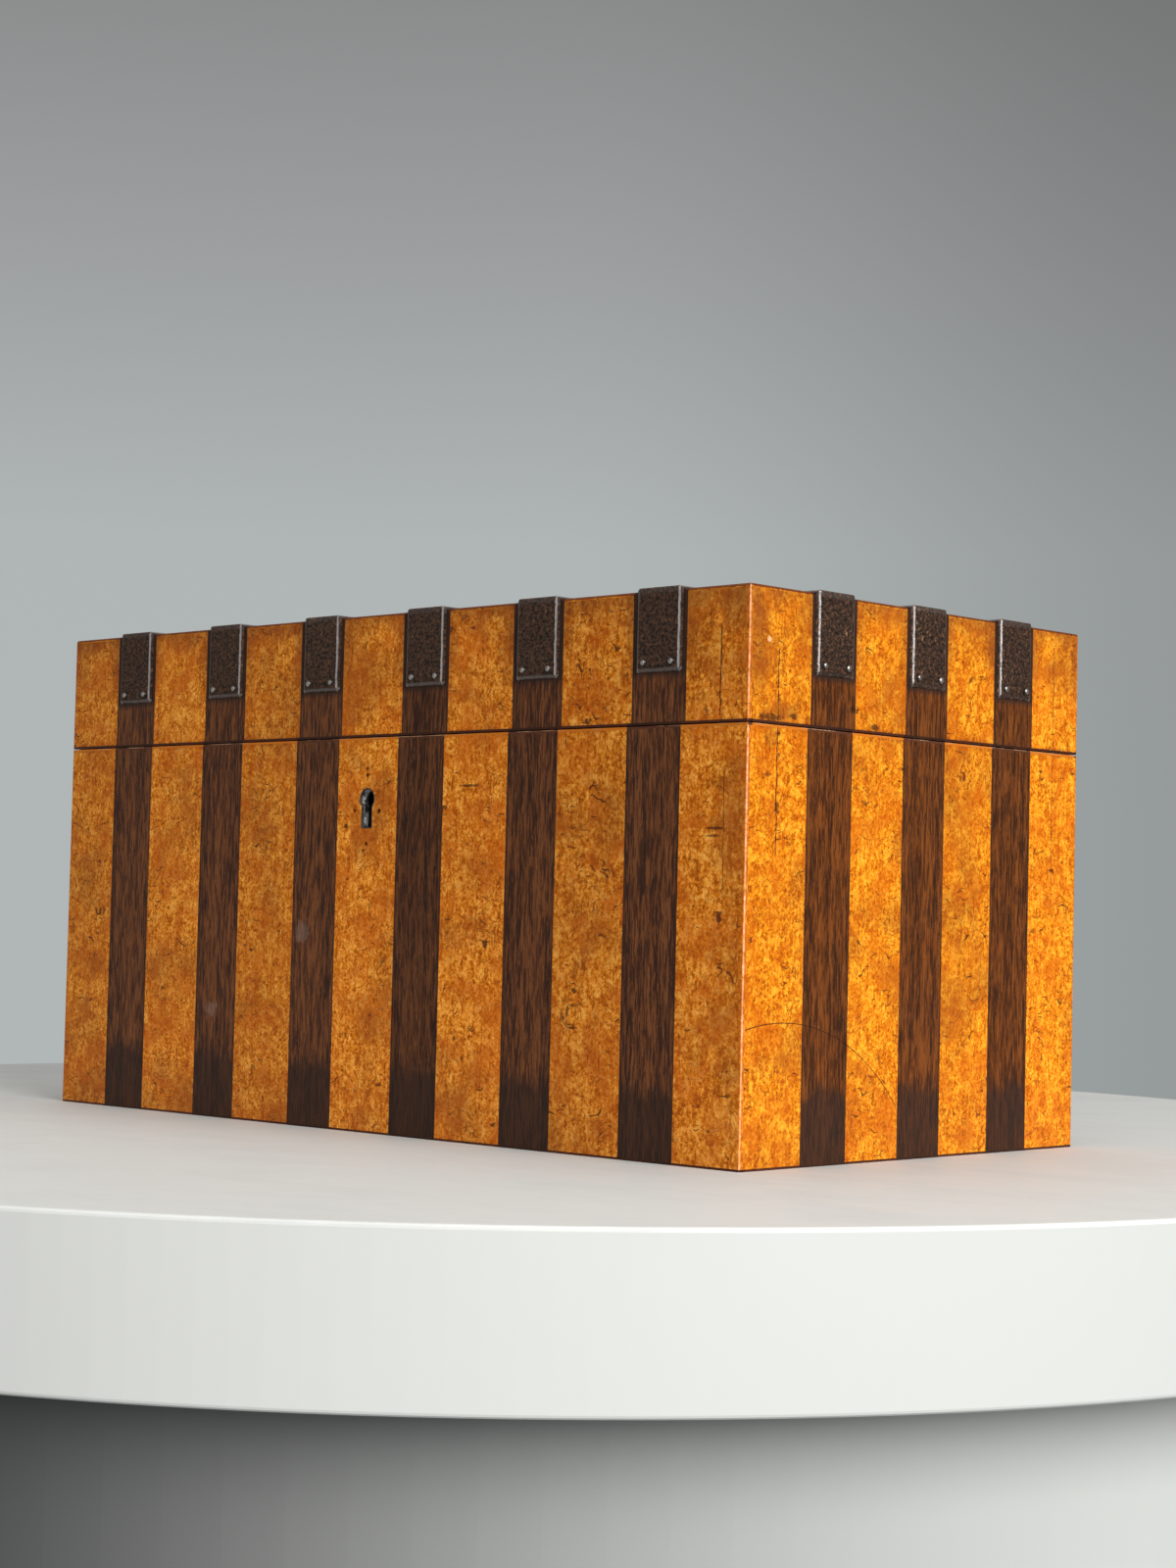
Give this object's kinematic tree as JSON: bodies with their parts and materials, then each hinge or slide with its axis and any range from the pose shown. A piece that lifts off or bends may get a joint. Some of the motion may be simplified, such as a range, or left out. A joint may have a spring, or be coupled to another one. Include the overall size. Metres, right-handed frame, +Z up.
{
  "type": "lid box",
  "caption": "Rectangular hinged box for papers and keepsakes, veneered in upright light and dark bands, with folded iron straps over the lid and a keyed lock.",
  "frame": {"origin": "middle of the underside, on the surface that the box rests on", "axes": "+X to the right seen from the front, +Y from front to back, +Z up"},
  "size_m": [0.2728, 0.1454, 0.1408],
  "materials": {
    "burr_maple": "French-polished burr maple, amber to orange",
    "rosewood": "French-polished rosewood, straight dark grain",
    "carcass_wood": "oiled mahogany",
    "facing_wood": "thin red-brown facing",
    "lining_cloth": "napped cloth, dark red",
    "strap_iron": "blackened iron, pitted, rubbed bright on the bevels",
    "lock_steel": "aged steel",
    "bright_steel": "rubbed steel",
    "screw_steel": "aged steel",
    "hinge_brass": "aged brass"
  },
  "bodies": {
    "base": {"base_back_board": "carcass_wood", "base_back_maple": "burr_maple", "base_back_rosewood": "rosewood", "base_bottom_board": "carcass_wood", "base_front_board": "carcass_wood", "base_front_maple": "burr_maple", "base_front_rosewood": "rosewood", "base_hinge_leaf_left": "hinge_brass", "base_hinge_leaf_right": "hinge_brass", "base_hinge_screws": "screw_steel", "base_left_board": "carcass_wood", "base_left_maple": "burr_maple", "base_left_rosewood": "rosewood", "base_right_board": "carcass_wood", "base_right_maple": "burr_maple", "base_right_rosewood": "rosewood", "base_rim_facing": "facing_wood", "base_underside_facing": "facing_wood", "floor_lining": "lining_cloth", "hinge_pins": "bright_steel", "lock_case": "lock_steel", "lock_cover_plate": "lock_steel", "lock_drill_pin": "bright_steel", "lock_screws": "screw_steel", "lock_spring": "bright_steel"},
    "lid": {"cross_strap_1": "strap_iron", "cross_strap_2": "strap_iron", "cross_strap_3": "strap_iron", "cross_strap_4": "strap_iron", "cross_strap_5": "strap_iron", "cross_strap_6": "strap_iron", "lid_back_maple": "burr_maple", "lid_back_rail": "carcass_wood", "lid_back_rosewood": "rosewood", "lid_front_maple": "burr_maple", "lid_front_rail": "carcass_wood", "lid_front_rosewood": "rosewood", "lid_hinge_leaf_left": "hinge_brass", "lid_hinge_leaf_right": "hinge_brass", "lid_hinge_screws": "screw_steel", "lid_left_maple": "burr_maple", "lid_left_rail": "carcass_wood", "lid_left_rosewood": "rosewood", "lid_right_maple": "burr_maple", "lid_right_rail": "carcass_wood", "lid_right_rosewood": "rosewood", "lid_rim_facing": "facing_wood", "lid_top_board": "carcass_wood", "lid_top_maple": "burr_maple", "lid_top_rosewood": "rosewood", "link_plate": "lock_steel", "link_plate_screws": "screw_steel", "long_strap_1": "strap_iron", "long_strap_2": "strap_iron", "long_strap_3": "strap_iron", "strap_pins": "bright_steel"},
    "bolt": {"lock_bolt": "lock_steel"}
  },
  "joints": [
    {"name": "lid_turn", "type": "hinge", "parent": "base", "child": "lid", "pos_m": [0, 0.0721, 0.10675], "axis": [-1, 0, 0], "range_deg": [0, 98]},
    {"name": "bolt_slide", "type": "slide", "parent": "base", "child": "bolt", "axis": [1, 0, 0], "range_m": [0, 0.0045]}
  ]
}
